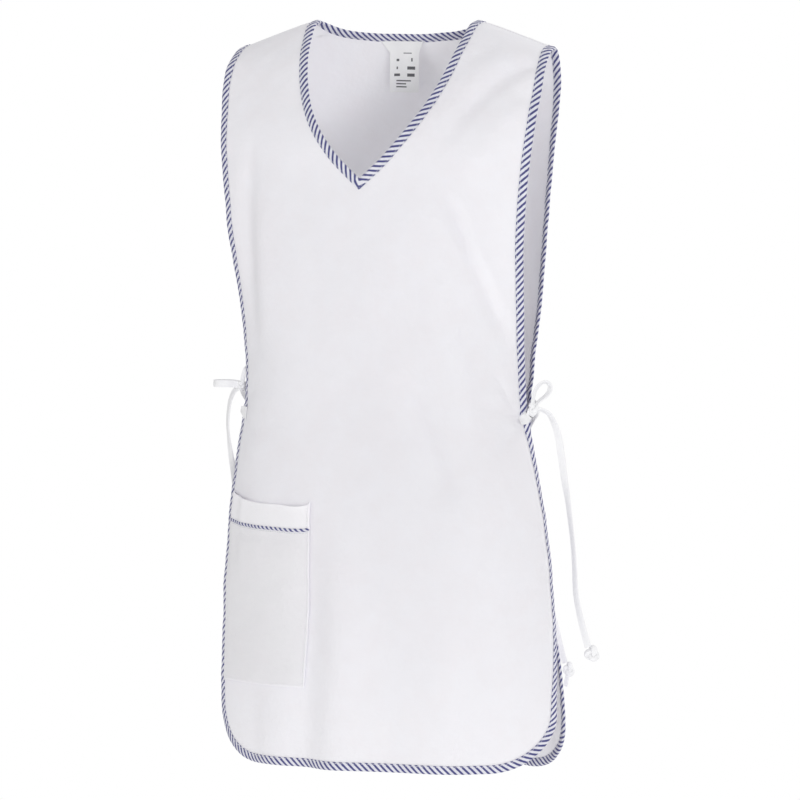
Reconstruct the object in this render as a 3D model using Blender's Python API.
# A slip-over work tunic, worn hollow: a front and a back joined at the shoulders, open down both sides
# and held at the waist by a tied tape on each side, with bias binding on every edge and one hip pocket.
# +Z is up, the wearer faces -Y and the wearer's left is +X. The origin is midway between the two
# shoulders at the level of the neck points, where the wearer carries the garment.

import math

import bpy
import bmesh
import numpy as np
from mathutils import Vector

MM = 0.001

# Cloth and trim.
CLOTH = 1.2 * MM
BIAS_LEAF = 1.0 * MM
BIAS_WIDTH = 7.6 * MM
SEAM_GAP = 0.3 * MM
LEAF_LIFT = 0.35 * MM       # the tip of each leaf stands this much prouder than its fold
UNDER_EASE = 0.8 * MM       # the binding's inner leaf hangs this much looser than its outer one
TAPE_WIDTH = 7.0 * MM
TAPE_THICK = 1.0 * MM

# Shoulders: from the neck point to the tip the seam falls by SHOULDER_FALL.
NECK_HALF = 86.6 * MM
SHOULDER_TIP = 171.0 * MM
SHOULDER_FALL = 27.0 * MM
SHOULDER_FADE = 230.0 * MM
SHOULDER_EASE = 0.02

# Length down the cloth from the shoulder seam to the hem, and the round of the hem corners.
FRONT_LENGTH = 800.0 * MM
BACK_LENGTH = 796.0 * MM
CORNER_DOWN = 54.0 * MM
CORNER_ACROSS = 54.0 * MM

# Each row is one level section, in millimetres: down the cloth, its height, how far the middle and the
# side edge stand out from the shoulder line, the half width, and how squarely the section turns
# towards the wearer's right and left edges (2 is an even curve, more keeps flat and turns late).
SECTION_COLUMNS = ("down", "height", "middle", "side", "half", "turn_right", "turn_left")
FRONT_SECTIONS = (
    (0, 0, 0, 0, 171, 2.0, 2.0),
    (16, -4, 15, 15, 171.5, 2.0, 2.0),
    (37, -18, 31, 33, 173, 2.0, 2.0),
    (66, -38.5, 52, 43, 173.8, 2.0, 2.0),
    (91, -58.5, 67.5, 49, 173.3, 2.0, 2.0),
    (116, -79, 81.5, 54, 171.8, 2.0, 2.0),
    (139, -99, 93, 57.5, 170.5, 2.1, 2.0),
    (160, -119, 99.5, 60.5, 169, 2.1, 2.0),
    (200, -158, 102, 64, 166, 2.2, 2.0),
    (262, -219, 104, 61, 160.5, 2.6, 2.2),
    (330, -286, 100, 46.5, 155.4, 3.4, 2.6),
    (400, -355, 93, 35.5, 152.5, 4.2, 3.4),
    (446, -401, 90, 36, 156.3, 4.4, 4.0),
    (500, -455, 93, 35, 166, 4.2, 5.0),
    (560, -515, 97, 31, 174.8, 3.4, 5.0),
    (640, -595, 99, 28.5, 181.8, 2.6, 4.6),
    (720, -675, 99, 28.5, 184, 2.4, 3.8),
    (800, -755, 99, 28, 183, 2.4, 3.2),
)
BACK_SECTIONS = (
    (0, 0, 0, 0, 171, 2.0, 2.0),
    (14, -3, 13, 5, 171.5, 2.0, 2.0),
    (30, -14, 24, 8, 172.5, 2.0, 2.0),
    (64, -42, 43, 8.5, 173.5, 2.0, 2.0),
    (104, -78, 60, 6, 172, 2.0, 2.0),
    (150, -121, 75, 3.5, 168.8, 2.2, 2.2),
    (205, -174, 85, 2.5, 164.7, 2.2, 2.2),
    (270, -238, 87, 3.5, 159.5, 2.2, 2.2),
    (340, -308, 80, -2.5, 154.7, 2.2, 2.2),
    (408, -375, 71, -16, 152, 2.4, 2.4),
    (450, -417, 71, -24, 157, 2.4, 2.4),
    (505, -471, 79, -26, 167, 2.6, 2.6),
    (570, -535, 90, -23, 175.5, 2.8, 2.8),
    (650, -614, 96, -19.5, 181.3, 2.8, 2.8),
    (720, -684, 96, -6, 183.7, 2.6, 2.6),
    (796, -760, 95, 1, 184, 2.4, 2.4),
)

# The front neck's half width at each length down the cloth: a V with gently bowed sides.
NECK_COLUMNS = ("down", "half")
FRONT_NECK = (
    (0, 86.6),
    (37, 83.5),
    (66, 79),
    (91, 73.5),
    (116, 65.5),
    (139, 54),
    (160, 39.5),
    (180, 22.5),
    (201, 0),
)
BACK_NECK_DEPTH = 30.0 * MM
BACK_NECK_SQUARE = 2.8

# Rows of the cloth's mesh, as lengths down the cloth in millimetres.
FRONT_NECK_ROWS = (0, 7, 14, 22, 31, 42, 54, 67, 80, 95, 111, 128, 148, 167, 186, 201)
FRONT_BODY_ROWS = (224, 250, 280, 312, 346, 378, 406, 430, 456, 488, 524, 566, 612, 660, 706)
BACK_SHOULDER_ROWS = (38, 48, 59, 71, 84, 99, 117, 137, 160)
BACK_BODY_ROWS = (188, 220, 258, 298, 338, 374, 404, 430, 460, 494, 532, 574, 618, 662, 704)
BACK_NECK_STEPS = 9
BACK_TOP_ROWS = (3.5, 6.5, 10.5)
CORNER_STEPS = 6
# Places across half a panel, as shares of the way from the middle or the neck to the binding.
ACROSS = (0, 0.21, 0.4, 0.57, 0.72, 0.84, 0.93, 1)

# Pocket at the wearer's right hip: in from the side binding, over the front.
POCKET_TOP = 533.0 * MM
POCKET_TOP_AT_SIDE = 530.0 * MM
POCKET_BOTTOM = 723.0 * MM
POCKET_EDGE_TOP = -56.0 * MM
POCKET_EDGE_BOTTOM = -69.0 * MM
POCKET_EDGE_BOW = 1.5
POCKET_GAPE = 9.0 * MM
POCKET_GAPE_REACH = 110.0 * MM
POCKET_BAND = 25.0 * MM
POCKET_ROWS = 14
POCKET_COLUMNS = 9
PIPING_WIDTH = 3.2 * MM
PIPING_THICK = 1.2 * MM

# Label inside the back, hung from the neck binding.
LABEL_MIDDLE = -3.0 * MM
LABEL_WIDTH = 33.0 * MM
LABEL_TOP_WIDTH = 54.0 * MM
LABEL_TOP_DEPTH = 11.0 * MM
LABEL_LENGTH = 51.0 * MM
LABEL_THICK = 1.0 * MM
LABEL_CLEAR = 1.8 * MM
LABEL_COLUMNS = 4

# Ties: where each tape leaves the panels, and the knot it runs into.
STAY_IN = 11.0 * MM
STAY_PAST = 3.0 * MM
STAY_SPACING = 2.0 * MM
STAY_LIFT = 0.8 * MM
KNOT_HALF_SIZE = (6.0 * MM, 5.5 * MM, 7.0 * MM)
END_KNOT_HALF_SIZE = (6.6 * MM, 5.0 * MM, 7.6 * MM)
KNOT_CLEAR = 0.5 * MM
TAIL_RADIUS = 1.9 * MM
TAIL_SPACING = 9.5 * MM
LOOP_SPACING = 3.0 * MM

# One row for each side of the wearer, in millimetres: the knot's centre, and the heights at which the
# front and the back tape leave their edges.
TIE_COLUMNS = ("side", "knot_x", "knot_y", "knot_z", "front_z", "back_z")
TIES = {
    "left": (1, 163.5, -39.0, -389.0, -402.0, -384.0),
    "right": (-1, -161.0, -29.0, -373.0, -402.0, -367.0),
}

# The bow loop of each tie leaves the knot, turns at its far end and comes back, in millimetres.
LOOPS = {
    "left": ((163, -39, -380), (165.5, -38, -368.5), (170.5, -37, -362.5), (177, -36, -361), (181.5, -36, -365),
             (181, -36, -370.5), (176, -36.5, -376), (170.5, -38, -380.5)),
    "right": ((-167, -33.5, -371.5), (-176, -39, -371), (-185, -40, -371), (-190, -34, -371),
              (-185, -27.5, -371), (-176, -25.5, -371), (-168, -26.5, -371.5)),
}

# Routes of the hanging tails, in millimetres, from the knot to the knot on the end.
TAILS = {
    "tie_tail_left_side": ((170, -37, -389.5), (177, -33, -393.5), (182.5, -29, -402), (186.5, -26, -416),
                           (189, -24, -436), (191, -22, -460), (193.5, -20.5, -481), (196, -20, -502),
                           (199, -20, -526), (200.8, -20, -551), (202.2, -20, -576), (206.2, -20, -596),
                           (211, -20, -614), (214.5, -20, -626)),
    "tie_tail_left_back": ((166, -31, -396), (165, -20, -404), (160, -4, -412), (150, 10, -424),
                           (142, 19, -444), (142, 20, -470), (146, 19, -500), (151, 18, -530),
                           (156, 16, -560), (161, 15, -588), (167.5, 14, -612), (173, 14, -632),
                           (176, 14, -643)),
    "tie_tail_right_side": ((-168, -31, -378), (-171.5, -33.5, -386), (-173.5, -35, -398),
                            (-175.5, -33, -412), (-176, -29, -428), (-176.5, -23, -444), (-177, -15, -462),
                            (-178, -7, -482), (-180, 0, -506), (-182, 5, -532), (-183, 8, -558),
                            (-184, 10, -584), (-184.5, 12, -606), (-185, 13, -624)),
    "tie_tail_right_back": ((-163, -21, -380), (-163, -10, -388), (-160, 4, -398), (-154, 18, -412),
                            (-150, 26, -434), (-151, 29, -462), (-154, 30, -492), (-157, 30, -522),
                            (-159, 30, -552), (-160, 31, -578), (-160, 32, -600)),
}


def clear_scene():
    for thing in list(bpy.data.objects):
        bpy.data.objects.remove(thing, do_unlink=True)


# Materials -----------------------------------------------------------------------------------------

def plain_material(name, colour, roughness):
    material = bpy.data.materials.get(name)
    if material is None:
        material = bpy.data.materials.new(name)
        material.use_nodes = True
        shader = material.node_tree.nodes["Principled BSDF"]
        shader.inputs["Base Color"].default_value = (*colour, 1.0)
        shader.inputs["Roughness"].default_value = roughness
        shader.inputs["Metallic"].default_value = 0.0
    return material


def cloth_material():
    return plain_material("white_cloth", (0.80, 0.80, 0.83), 0.85)


def bias_material():
    return plain_material("striped_bias", (0.42, 0.45, 0.68), 0.8)


def tape_material():
    return plain_material("white_tape", (0.86, 0.86, 0.87), 0.8)


def label_material():
    return plain_material("label_satin", (0.84, 0.84, 0.84), 0.45)


# Tables and curves ---------------------------------------------------------------------------------

def column(rows, names, name):
    """One named column of a table."""
    return np.array([row[names.index(name)] for row in rows], dtype=float)


def through(xs, ys, at):
    """A smooth curve through the points (xs, ys), read at the places in at."""
    slopes = np.gradient(ys, xs)
    at = np.asarray(at, dtype=float)
    k = np.clip(np.searchsorted(xs, at, side="right") - 1, 0, len(xs) - 2)
    step = xs[k + 1] - xs[k]
    t = (at - xs[k]) / step
    rise = ys[k] * (1 + 2 * t) * (1 - t) ** 2 + ys[k + 1] * t * t * (3 - 2 * t)
    return rise + step * (slopes[k] * t * (1 - t) ** 2 - slopes[k + 1] * t * t * (1 - t))


def read_section(panel, name, down):
    rows = panel["sections"]
    scale = 1.0 if name.startswith("turn") else MM
    downs = column(rows, SECTION_COLUMNS, "down") * MM
    return through(downs, column(rows, SECTION_COLUMNS, name) * scale, down)


# The cloth's surface -------------------------------------------------------------------------------

def shoulder_fall(x):
    """How far the shoulder line has fallen at x, level at the neck point and even from there on."""
    share = np.maximum(np.abs(x) - NECK_HALF, 0) / (SHOULDER_TIP - NECK_HALF)
    ease = math.sqrt(SHOULDER_EASE)
    return SHOULDER_FALL * (np.sqrt(share ** 2 + SHOULDER_EASE) - ease) / (math.sqrt(1 + SHOULDER_EASE) - ease)


def panel_point(panel, x, down):
    """The outer face of a panel, x from the middle line and down the cloth from the shoulder."""
    x, down = np.broadcast_arrays(np.asarray(x, dtype=float), np.asarray(down, dtype=float))
    middle = read_section(panel, "middle", down)
    side = read_section(panel, "side", down)
    across = np.abs(x) / read_section(panel, "half", down)
    turn = np.where(x < 0, read_section(panel, "turn_right", down), read_section(panel, "turn_left", down))
    depth = side + (middle - side) * (1 - across ** turn)
    fade = np.clip(1 - down / SHOULDER_FADE, 0, 1)
    height = read_section(panel, "height", down) - shoulder_fall(x) * fade * fade * (3 - 2 * fade)
    return np.stack([x, panel["facing"] * depth, height], axis=-1)


def panel_frame(panel, x, down):
    """Points of the outer face with the two ways along the cloth and the way out of it.

    On the shoulder seam the way out has no part across the seam, so the two panels meet face to face.
    """
    small = 0.05 * MM
    point = panel_point(panel, x, down)
    along_x = (panel_point(panel, x + small, down) - panel_point(panel, x - small, down)) / (2 * small)
    along_down = (panel_point(panel, x, down + small) - panel_point(panel, x, down - small)) / (2 * small)
    out = np.cross(along_x, along_down) * panel["facing"]
    out[..., 1] = np.where(np.broadcast_to(down, out[..., 1].shape) < SEAM_GAP, 0, out[..., 1])
    return point, along_x, along_down, out / np.linalg.norm(out, axis=-1, keepdims=True)


def lifted(panel, x, down, lift):
    """Points of the outer face moved out by lift."""
    point, _, _, out = panel_frame(panel, x, down)
    return point + out * np.asarray(lift)[..., None]


def moved_in(panel, x, down, way, distance):
    """The place on the cloth that lies distance from (x, down) in the direction way."""
    _, along_x, along_down, _ = panel_frame(panel, x, down)
    a = np.sum(along_x * along_x, axis=-1)
    b = np.sum(along_x * along_down, axis=-1)
    c = np.sum(along_down * along_down, axis=-1)
    p = np.sum(along_x * way, axis=-1) * distance
    q = np.sum(along_down * way, axis=-1) * distance
    det = a * c - b * b
    return x + (p * c - q * b) / det, down + (q * a - p * b) / det


def down_at(panel, height):
    """The length down the cloth at which its middle reaches a height."""
    downs = np.linspace(0, panel["length"], 400)
    return float(np.interp(-height, -read_section(panel, "height", downs), downs))


# Meshes --------------------------------------------------------------------------------------------

def add_mesh(name, points, faces, material):
    mesh = bpy.data.meshes.new(name)
    mesh.from_pydata([tuple(map(float, p)) for p in points], [], faces)
    shape = bmesh.new()
    shape.from_mesh(mesh)
    bmesh.ops.recalc_face_normals(shape, faces=shape.faces)
    shape.to_mesh(mesh)
    shape.free()
    mesh.shade_smooth()
    mesh.set_sharp_from_angle(angle=math.radians(40))
    thing = bpy.data.objects.new(name, mesh)
    thing.data.materials.append(material)
    bpy.context.scene.collection.objects.link(thing)
    return thing


def add_wall(name, outer, inner, quads, material):
    """A closed wall between two faces that share their quads, with a rim along every free edge."""
    count = len(outer)
    faces = [tuple(quad) for quad in quads]
    faces += [tuple(count + i for i in reversed(quad)) for quad in quads]
    edges = {(quad[k], quad[(k + 1) % 4]) for quad in quads for k in range(4)}
    for a, b in sorted(edges):
        if (b, a) not in edges:
            faces.append((b, a, count + a, count + b))
    return add_mesh(name, np.concatenate([outer, inner]), faces, material)


def grid_quads(index):
    quads = []
    for upper, lower in zip(index[:-1], index[1:]):
        for k in range(len(upper) - 1):
            quads.append((upper[k], lower[k], lower[k + 1], upper[k + 1]))
    return quads


def add_sweep(name, rings, material):
    """A solid with one ring of points for each station, closed at both ends."""
    stations, sides = rings.shape[:2]
    faces = []
    for s in range(stations - 1):
        for k in range(sides):
            a, b = s * sides + k, s * sides + (k + 1) % sides
            faces.append((a, b, b + sides, a + sides))
    faces.append(tuple(range(sides)))
    faces.append(tuple(range((stations - 1) * sides, stations * sides)))
    return add_mesh(name, rings.reshape(-1, 3), faces, material)


# Outlines of the two panels ------------------------------------------------------------------------

def corner_rows(panel):
    """Rows round the hem corner, from where the side ends to the hem."""
    turns = np.linspace(0, math.pi / 2, CORNER_STEPS + 1)
    return panel["length"] - CORNER_DOWN * (1 - np.sin(turns))


def side_half(panel, down):
    """Half width of the cut, with its round hem corners."""
    half = read_section(panel, "half", down)
    past = np.clip((down - (panel["length"] - CORNER_DOWN)) / CORNER_DOWN, 0, 1)
    return half - CORNER_ACROSS * (1 - np.sqrt(1 - past ** 2))


def neck_half(panel, down):
    """Half width of the neck opening at each length down the cloth, nought below it."""
    if panel["facing"] < 0:
        downs = column(FRONT_NECK, NECK_COLUMNS, "down") * MM
        widths = column(FRONT_NECK, NECK_COLUMNS, "half") * MM
        return np.where(down < downs[-1], through(downs, widths, np.minimum(down, downs[-1])), 0)
    share = np.clip(down / BACK_NECK_DEPTH, 0, 1)
    return NECK_HALF * (1 - share ** BACK_NECK_SQUARE) ** (1 / BACK_NECK_SQUARE)


def front_rows():
    return np.array(FRONT_NECK_ROWS + FRONT_BODY_ROWS) * MM


def back_rows():
    steps = np.linspace(0, math.pi / 2, BACK_NECK_STEPS + 1)
    neck = BACK_NECK_DEPTH * np.sin(steps) ** (2 / BACK_NECK_SQUARE)
    top = np.array(BACK_TOP_ROWS) * MM
    return np.concatenate([neck[:1], top, neck[2:], np.array(BACK_SHOULDER_ROWS + BACK_BODY_ROWS) * MM])


def make_panel(name, sections, facing, length, rows, neck_end):
    """A panel's named sizes: its rows go on round the hem corners, and neck_end is the neck's last row."""
    panel = {"name": name, "sections": sections, "facing": facing, "length": length}
    rows = np.concatenate([rows, corner_rows(panel)])
    rows[0] = SEAM_GAP / 2
    panel.update(rows=rows, neck_end=neck_end, neck=neck_half(panel, rows), half=side_half(panel, rows))
    return panel


def row_columns(inner, outer):
    """Places across half a row, closer towards the side, with one along the binding's inner line."""
    return np.concatenate([inner + np.array(ACROSS) * (outer - BIAS_WIDTH - inner), [outer]])


def add_panel(panel):
    """The panel's wall: two halves that share the middle line below the neck."""
    rows, count = panel["rows"], len(ACROSS) + 1
    across = np.array([row_columns(a, b) for a, b in zip(panel["neck"], panel["half"])])
    down = np.repeat(rows[:, None], count, axis=1)
    right_index = np.arange(len(rows) * count).reshape(len(rows), count)
    left_index = right_index + right_index.size
    left_index[panel["neck_end"]:, 0] = right_index[panel["neck_end"]:, 0]
    x = np.concatenate([-across.ravel(), across.ravel()])
    downs = np.concatenate([down.ravel(), down.ravel()])
    point, _, _, out = panel_frame(panel, x, downs)
    quads = grid_quads(right_index[:, ::-1].tolist()) + grid_quads(left_index.tolist())
    used = sorted({i for quad in quads for i in quad})
    place = {old: new for new, old in enumerate(used)}
    quads = [tuple(place[i] for i in quad) for quad in quads]
    point, out = point[used], out[used]
    return add_wall(panel["name"], point, point - out * CLOTH, quads, cloth_material())


# Bindings ------------------------------------------------------------------------------------------

def edge_ways(points, out, turn):
    """At each point of an edge, the way into the cloth and how much longer it is at a mitred corner."""
    legs = np.diff(points, axis=0)
    legs /= np.linalg.norm(legs, axis=1, keepdims=True)
    before = np.concatenate([legs[:1], legs])
    after = np.concatenate([legs, legs[-1:]])
    way_before = np.cross(out, before) * turn
    way_after = np.cross(out, after) * turn
    way = way_before + way_after
    way /= np.linalg.norm(way, axis=1, keepdims=True)
    stretch = np.linalg.norm(way_after, axis=1) ** 2 / np.sum(way * way_after, axis=1)
    return way, stretch[:, None]


def bias_rings(panel, x, down, turn):
    """Sections of a folded binding: an outer leaf, the fold past the cloth's edge and an inner leaf."""
    edge, _, _, out = panel_frame(panel, x, down)
    way, stretch = edge_ways(edge, out, turn)
    tip_x, tip_down = moved_in(panel, x, down, way, BIAS_WIDTH * stretch[:, 0])
    tip_down = np.where(down < SEAM_GAP, SEAM_GAP / 2, tip_down)
    tip, _, _, tip_out = panel_frame(panel, tip_x, tip_down)
    near, far = SEAM_GAP, SEAM_GAP + BIAS_LEAF
    under_near, under_far = CLOTH + near + UNDER_EASE, CLOTH + far + UNDER_EASE
    ring = [
        tip + tip_out * (far + LEAF_LIFT),
        tip + tip_out * (near + LEAF_LIFT),
        edge + out * near - way * near * stretch,
        edge - out * under_near - way * near * stretch,
        tip - tip_out * under_near,
        tip - tip_out * under_far,
        edge - out * under_far - way * far * stretch,
        edge + out * far - way * far * stretch,
    ]
    rings = np.stack(ring, axis=1)
    rings[down < SEAM_GAP, :, 1] = panel["facing"] * SEAM_GAP / 2
    return rings


def side_path(panel):
    """The panel's outer edge: down the right side, along the hem and up the left side."""
    half, rows = panel["half"], panel["rows"]
    hem = row_columns(0, half[-1])[:-1]
    x = np.concatenate([-half, -hem[::-1], hem[1:], half[::-1]])
    down = np.concatenate([rows, np.full(2 * len(hem) - 1, rows[-1]), rows[::-1]])
    return x, down


def neck_path(panel):
    """The panel's neck edge, from the right shoulder to the left one."""
    end = panel["neck_end"] + 1
    neck, rows = panel["neck"][:end], panel["rows"][:end]
    return np.concatenate([-neck, neck[-2::-1]]), np.concatenate([rows, rows[-2::-1]])


def add_bindings(panel):
    turn = -panel["facing"]
    x, down = side_path(panel)
    add_sweep("side_binding_" + panel["name"].split("_")[0], bias_rings(panel, x, down, turn), bias_material())
    x, down = neck_path(panel)
    add_sweep("neck_binding_" + panel["name"].split("_")[0], bias_rings(panel, x, down, -turn), bias_material())


# Pocket --------------------------------------------------------------------------------------------

def pocket_place(front, across, along):
    """A place on the pocket: across from the side (0) to its inner edge (1), along from mouth (0) to foot."""
    top = POCKET_TOP_AT_SIDE + (POCKET_TOP - POCKET_TOP_AT_SIDE) * across
    down = top + (POCKET_BOTTOM - top) * along
    outer = -(side_half(front, down) - BIAS_WIDTH - 2 * SEAM_GAP)
    inner = POCKET_EDGE_TOP + (POCKET_EDGE_BOTTOM - POCKET_EDGE_TOP) * along ** POCKET_EDGE_BOW
    return outer + (inner - outer) * across, down


def pocket_gape(across, along):
    """How far the mouth stands off the front: most in the middle of the mouth, nothing at the seams."""
    reach = POCKET_GAPE_REACH / (POCKET_BOTTOM - POCKET_TOP)
    open_share = np.clip(1 - along / reach, 0, 1)
    return POCKET_GAPE * np.sin(math.pi * across) ** 1.3 * open_share ** 1.5


def pocket_grid():
    across, along = np.meshgrid(np.linspace(0, 1, POCKET_COLUMNS + 1), np.linspace(0, 1, POCKET_ROWS + 1))
    return across, along


def add_pocket(front):
    across, along = pocket_grid()
    x, down = pocket_place(front, across, along)
    stand_off = SEAM_GAP + 0.2 * MM + pocket_gape(across, along)
    inner = lifted(front, x, down, stand_off).reshape(-1, 3)
    outer = lifted(front, x, down, stand_off + CLOTH).reshape(-1, 3)
    index = np.arange(across.size).reshape(across.shape).tolist()
    add_wall("pocket", outer, inner, grid_quads(index), cloth_material())


def add_piping(front):
    """The striped piping across the pocket, under its band."""
    across = np.linspace(0, 1, POCKET_COLUMNS + 1)
    start = POCKET_BAND / (POCKET_BOTTOM - POCKET_TOP)
    end = start + PIPING_WIDTH / (POCKET_BOTTOM - POCKET_TOP)
    base = 2 * SEAM_GAP + 0.2 * MM + CLOTH
    corners = []
    for along, lift in ((start, base), (end, base), (end, base + PIPING_THICK), (start, base + PIPING_THICK)):
        x, down = pocket_place(front, across, np.full_like(across, along))
        corners.append(lifted(front, x, down, lift + pocket_gape(across, along)))
    add_sweep("pocket_piping", np.stack(corners, axis=1), bias_material())


# Label ---------------------------------------------------------------------------------------------

def add_label(back):
    """A label that hangs plumb inside the back, wide where the neck binding holds it, then straight."""
    top = BACK_NECK_DEPTH + BIAS_WIDTH + LABEL_CLEAR
    drops = np.array([0.0, LABEL_TOP_DEPTH, LABEL_LENGTH * 0.6, LABEL_LENGTH])
    widths = np.array([LABEL_TOP_WIDTH] + [LABEL_WIDTH] * 3)
    across = np.linspace(-0.5, 0.5, LABEL_COLUMNS + 1)
    x = LABEL_MIDDLE + widths[:, None] * across[None, :]
    hung = lifted(back, x[0], np.full(len(across), top), np.full(len(across), -(CLOTH + 2 * SEAM_GAP)))
    outer = np.zeros((*x.shape, 3))
    outer[..., 0] = x
    outer[..., 1] = hung[:, 1]
    outer[..., 2] = hung[:, 2] - drops[:, None]
    inner = outer - np.array([0.0, LABEL_THICK, 0.0])
    index = np.arange(x.size).reshape(x.shape).tolist()
    add_wall("label", outer.reshape(-1, 3), inner.reshape(-1, 3), grid_quads(index), label_material())


# Ties ----------------------------------------------------------------------------------------------

def smooth_route(points, spacing):
    """Even points along a smooth curve through the route's own points."""
    points = np.asarray(points, dtype=float)
    stations = np.concatenate([[0], np.cumsum(np.linalg.norm(np.diff(points, axis=0), axis=1))])
    fine = np.linspace(0, stations[-1], 600)
    curve = np.stack([through(stations, points[:, k], fine) for k in range(3)], axis=1)
    length = np.concatenate([[0], np.cumsum(np.linalg.norm(np.diff(curve, axis=0), axis=1))])
    count = max(2, int(round(length[-1] / spacing)) + 1)
    even = np.linspace(0, length[-1], count)
    return np.stack([np.interp(even, length, curve[:, k]) for k in range(3)], axis=1)


def tape_rings(points, width_ways, width, thick):
    """Sections of a flat tape that keeps its width along width_ways."""
    ways = np.gradient(points, axis=0)
    ways /= np.linalg.norm(ways, axis=1, keepdims=True)
    wide = width_ways - ways * np.sum(width_ways * ways, axis=1, keepdims=True)
    wide /= np.linalg.norm(wide, axis=1, keepdims=True)
    flat = np.cross(ways, wide)
    corners = [(1, 1), (1, -1), (-1, -1), (-1, 1)]
    return np.stack([points + wide * a * width / 2 + flat * b * thick / 2 for a, b in corners], axis=1)


def tie_knot(side):
    row = TIES[side]
    return np.array([row[TIE_COLUMNS.index(name)] for name in ("knot_x", "knot_y", "knot_z")]) * MM


def add_lump(name, centre, half_size, material):
    """A small rounded knot."""
    shape = bmesh.new()
    bmesh.ops.create_icosphere(shape, subdivisions=2, radius=1.0)
    for vertex in shape.verts:
        vertex.co = Vector([vertex.co[k] * half_size[k] + centre[k] for k in range(3)])
    mesh = bpy.data.meshes.new(name)
    shape.to_mesh(mesh)
    shape.free()
    mesh.shade_smooth()
    thing = bpy.data.objects.new(name, mesh)
    thing.data.materials.append(material)
    bpy.context.scene.collection.objects.link(thing)
    return thing


def outside_knot(points, centre):
    """The stretch of a route that lies outside a knot, cut where it comes within KNOT_CLEAR of it."""
    grown = np.array(KNOT_HALF_SIZE) + KNOT_CLEAR
    reach = np.linalg.norm((points - centre) / grown, axis=1)
    free = np.nonzero(reach >= 1)[0]
    first, last = free[0], free[-1]
    kept = [points[first:last + 1]]
    if first > 0:
        share = (reach[first] - 1) / (reach[first] - reach[first - 1])
        kept.insert(0, [points[first] + (points[first - 1] - points[first]) * share])
    if last < len(points) - 1:
        share = (reach[last] - 1) / (reach[last] - reach[last + 1])
        kept.append([points[last] + (points[last + 1] - points[last]) * share])
    return np.concatenate(kept)


def add_stay(name, panel, side, height):
    """The tape's sewn end: from the face of a panel, over its binding, to the knot."""
    sign = TIES[side][0]
    down = down_at(panel, height)
    half = float(side_half(panel, np.array(down)))
    lift = SEAM_GAP + BIAS_LEAF + STAY_LIFT + TAPE_THICK / 2
    x = sign * (half - np.array([STAY_IN, STAY_IN * 0.6, STAY_IN * 0.25]))
    points = lifted(panel, x, np.full(3, down), np.full(3, lift))
    edge, _, _, out = panel_frame(panel, np.array([sign * half]), np.array([down]))
    outward = points[-1] - points[-2]
    outward /= np.linalg.norm(outward)
    past = edge[0] + outward * STAY_PAST + out[0] * lift
    round_edge = edge[0] + outward * (STAY_PAST + STAY_LIFT) - out[0] * CLOTH
    knot = tie_knot(side)
    turn = [past, round_edge, knot] if panel["facing"] > 0 else [past, knot]
    route = outside_knot(smooth_route(np.concatenate([points, turn]), STAY_SPACING), knot)
    span = down + np.array([-1.0, 1.0]) * MM
    along_edge = panel_point(panel, sign * side_half(panel, span), span)
    along_edge = (along_edge[0] - along_edge[1]) / np.linalg.norm(along_edge[0] - along_edge[1])
    share = np.linspace(0, 1, len(route))[:, None] ** 2
    wide = along_edge * (1 - share) + np.array([0.0, 0.0, 1.0]) * share
    add_sweep(name, tape_rings(route, wide, TAPE_WIDTH, TAPE_THICK), tape_material())


def add_loop(side):
    """One bow loop of flat tape, out from the knot and back to it."""
    knot = tie_knot(side)
    points = np.array(LOOPS[side]) * MM
    route = outside_knot(smooth_route(np.concatenate([[knot], points, [knot]]), LOOP_SPACING), knot)
    spread = np.ptp(points, axis=0)
    across = np.array([0.0, 1.0, 0.0]) if spread[2] > spread[1] else np.array([0.0, 0.0, 1.0])
    rings = tape_rings(route, np.tile(across, (len(route), 1)), TAPE_WIDTH, TAPE_THICK)
    add_sweep("tie_loop_" + side, rings, tape_material())


def add_tail(name):
    """A hanging tail: a round cord along its route, with its end knot as a piece of its own."""
    knot = tie_knot(name.split("_")[2])
    route = smooth_route(np.concatenate([[knot], np.array(TAILS[name]) * MM]), TAIL_SPACING)
    route = outside_knot(route, knot)
    curve = bpy.data.curves.new(name, "CURVE")
    curve.dimensions = "3D"
    curve.bevel_depth = TAIL_RADIUS
    curve.bevel_resolution = 2
    curve.use_fill_caps = True
    spline = curve.splines.new("POLY")
    spline.points.add(len(route) - 1)
    for point, place in zip(spline.points, route):
        point.co = (*map(float, place), 1.0)
    thing = bpy.data.objects.new(name, curve)
    thing.data.materials.append(tape_material())
    bpy.context.scene.collection.objects.link(thing)
    way = route[-1] - route[-2]
    way /= np.linalg.norm(way)
    centre = route[-1] + way * (END_KNOT_HALF_SIZE[2] + KNOT_CLEAR)
    add_lump(name.replace("tail", "end_knot"), centre, END_KNOT_HALF_SIZE, tape_material())


def add_ties(front, back):
    for side, row in TIES.items():
        front_height = row[TIE_COLUMNS.index("front_z")] * MM
        back_height = row[TIE_COLUMNS.index("back_z")] * MM
        add_stay("tie_stay_front_" + side, front, side, front_height)
        add_stay("tie_stay_back_" + side, back, side, back_height)
        add_lump("tie_knot_" + side, tie_knot(side), KNOT_HALF_SIZE, tape_material())
        add_loop(side)
    for name in TAILS:
        add_tail(name)


def build():
    clear_scene()
    front = make_panel("front_panel", FRONT_SECTIONS, -1, FRONT_LENGTH, front_rows(),
                       len(FRONT_NECK_ROWS) - 1)
    back = make_panel("back_panel", BACK_SECTIONS, 1, BACK_LENGTH, back_rows(),
                      len(BACK_TOP_ROWS) + BACK_NECK_STEPS - 1)
    for panel in (front, back):
        add_panel(panel)
        add_bindings(panel)
    add_pocket(front)
    add_piping(front)
    add_label(back)
    add_ties(front, back)


build()
